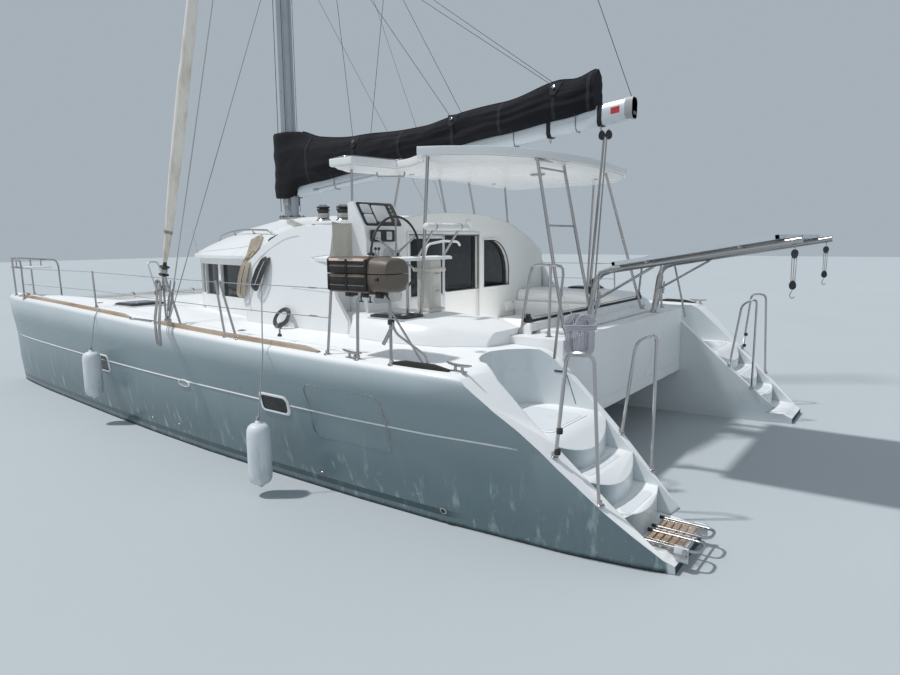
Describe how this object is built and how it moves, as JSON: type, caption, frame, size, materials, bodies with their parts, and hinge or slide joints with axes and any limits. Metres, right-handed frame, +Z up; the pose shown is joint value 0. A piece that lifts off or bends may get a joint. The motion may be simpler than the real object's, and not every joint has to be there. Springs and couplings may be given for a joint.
{
  "type": "cruising sailing catamaran",
  "caption": "Cruising sailing catamaran afloat with sails furled: two hulls with stern steps, cabin, bimini, mast and boom, jointed rudders, wheel, propellers, boom, lids and ladder.",
  "frame": {"origin": "on the waterline, on the centreline, halfway between the bows and the sterns", "axes": "+X towards the bows, +Y to port, +Z up"},
  "size_m": [11.9595, 6.755, 18.75],
  "materials": {
    "gelcoat": "polished white gelcoat",
    "grey_gelcoat": "grey gelcoat, satin",
    "stainless_steel": "polished stainless steel",
    "winch_metal": "polished drum on a black base",
    "alloy": "anodised alloy, satin",
    "black_plastic": "black, satin",
    "tinted_glass": "dark tinted, glossy",
    "tinted_acrylic": "smoked acrylic",
    "black_canvas": "woven acrylic canvas, matte",
    "sailcloth": "weathered cloth, matte",
    "netting": "woven net, matte",
    "antifoul": "dark blue bottom paint",
    "bronze": "dull bronze",
    "fender_vinyl": "soft vinyl, satin",
    "brown_enamel": "brown enamel, satin",
    "solar_glass": "glazed cells",
    "upholstery": "woven seat cloth"
  },
  "bodies": {
    "boat": {"barbecue": "brown_enamel", "barbecue_rail": "stainless_steel", "bimini_frame": "stainless_steel", "bimini_top": "gelcoat", "bridgedeck": "gelcoat", "cabin_bulkhead": "grey_gelcoat", "cabin_front": "gelcoat", "cabin_side_port": "gelcoat", "cabin_side_starboard": "gelcoat", "cabin_windows": "tinted_glass", "coachroof": "gelcoat", "cockpit": "gelcoat", "cockpit_windows": "tinted_glass", "crossbeam": "alloy", "davit_port": "stainless_steel", "davit_starboard": "stainless_steel", "fender_1": "fender_vinyl", "fender_2": "fender_vinyl", "foredeck": "gelcoat", "forestay": "stainless_steel", "guardrail_port": "stainless_steel", "guardrail_starboard": "stainless_steel", "helm_console": "gelcoat", "helm_seat": "gelcoat", "hull_port": "gelcoat", "hull_starboard": "gelcoat", "keel_port": "antifoul", "keel_starboard": "antifoul", "mast": "alloy", "mast_collar": "black_canvas", "pushpit_port": "stainless_steel", "pushpit_starboard": "stainless_steel", "saildrive_port": "grey_gelcoat", "saildrive_starboard": "grey_gelcoat", "saloon_furniture": "upholstery", "shrouds_port": "stainless_steel", "shrouds_starboard": "stainless_steel", "solar_panel": "solar_glass", "stern_rail_inner_port": "stainless_steel", "stern_rail_inner_starboard": "stainless_steel", "stern_rail_outer_port": "stainless_steel", "stern_rail_outer_starboard": "stainless_steel", "trampoline_port": "netting", "trampoline_starboard": "netting", "winches": "winch_metal"},
    "rudder_port": {"rudder_port": "antifoul"},
    "rudder_starboard": {"rudder_starboard": "antifoul"},
    "propeller_port": {"propeller_port": "bronze"},
    "propeller_starboard": {"propeller_starboard": "bronze"},
    "steering_wheel": {"steering_wheel": "black_plastic"},
    "boom": {"boom": "alloy", "sail_bag": "black_canvas"},
    "furled_genoa": {"furled_genoa": "sailcloth"},
    "sliding_door": {"sliding_door": "tinted_glass"},
    "swim_ladder": {"swim_ladder": "stainless_steel"},
    "barbecue_lid": {"barbecue_lid": "brown_enamel"},
    "hatch_bow_port": {"hatch_bow_port": "tinted_acrylic"},
    "hatch_bow_starboard": {"hatch_bow_starboard": "tinted_acrylic"},
    "hatch_aft_port": {"hatch_aft_port": "tinted_acrylic"},
    "hatch_aft_starboard": {"hatch_aft_starboard": "tinted_acrylic"}
  },
  "joints": [
    {"name": "rudder_port_turn", "type": "hinge", "parent": "boat", "child": "rudder_port", "pos_m": [-4.48, 2.33, -0.2], "axis": [0, 0, 1], "range_deg": [-32, 32]},
    {"name": "rudder_starboard_turn", "type": "hinge", "parent": "boat", "child": "rudder_starboard", "pos_m": [-4.48, -2.33, -0.2], "axis": [0, 0, 1], "range_deg": [-32, 32]},
    {"name": "wheel_turn", "type": "hinge", "parent": "boat", "child": "steering_wheel", "pos_m": [-2.43, 1.7, 2.2], "axis": [1, 0, 0], "range_deg": [-480, 480]},
    {"name": "propeller_port_spin", "type": "hinge", "parent": "boat", "child": "propeller_port", "pos_m": [-3.343, 2.33, -0.76], "axis": [1, 0, 0], "continuous": true},
    {"name": "propeller_starboard_spin", "type": "hinge", "parent": "boat", "child": "propeller_starboard", "pos_m": [-3.343, -2.33, -0.76], "axis": [1, 0, 0], "continuous": true},
    {"name": "boom_swing", "type": "hinge", "parent": "boat", "child": "boom", "pos_m": [1.015, 0, 3.11], "axis": [0, 0, 1], "range_deg": [-55, 55]},
    {"name": "furler_turn", "type": "hinge", "parent": "boat", "child": "furled_genoa", "pos_m": [5.05, 0, 1.56], "axis": [-0.3046, 0, 0.9525], "continuous": true},
    {"name": "door_slide", "type": "slide", "parent": "boat", "child": "sliding_door", "axis": [0, -1, 0], "range_m": [0, 0.7]},
    {"name": "ladder_swing", "type": "hinge", "parent": "boat", "child": "swim_ladder", "pos_m": [-5.815, 2.32, 0.158], "axis": [0, -1, 0], "range_deg": [0, 260]},
    {"name": "barbecue_lid_hinge", "type": "hinge", "parent": "boat", "child": "barbecue_lid", "pos_m": [-3.3, 2.88, 2.083], "axis": [1, 0, 0], "range_deg": [0, 100]},
    {"name": "hatch_bow_port_hinge", "type": "hinge", "parent": "boat", "child": "hatch_bow_port", "pos_m": [2.15, 2.2, 1.49], "axis": [0, 1, 0], "range_deg": [0, 85]},
    {"name": "hatch_bow_starboard_hinge", "type": "hinge", "parent": "boat", "child": "hatch_bow_starboard", "pos_m": [2.15, -2.2, 1.49], "axis": [0, 1, 0], "range_deg": [0, 85]},
    {"name": "hatch_aft_port_hinge", "type": "hinge", "parent": "boat", "child": "hatch_aft_port", "pos_m": [-2.61, 2.19, 1.612], "axis": [0, 1, 0], "range_deg": [0, 85]},
    {"name": "hatch_aft_starboard_hinge", "type": "hinge", "parent": "boat", "child": "hatch_aft_starboard", "pos_m": [-2.61, -2.19, 1.612], "axis": [0, 1, 0], "range_deg": [0, 85]}
  ],
  "couplings": [
    {"joint": "rudder_starboard_turn", "follows": "rudder_port_turn", "ratio": 1},
    {"joint": "wheel_turn", "follows": "rudder_port_turn", "ratio": 15}
  ]
}
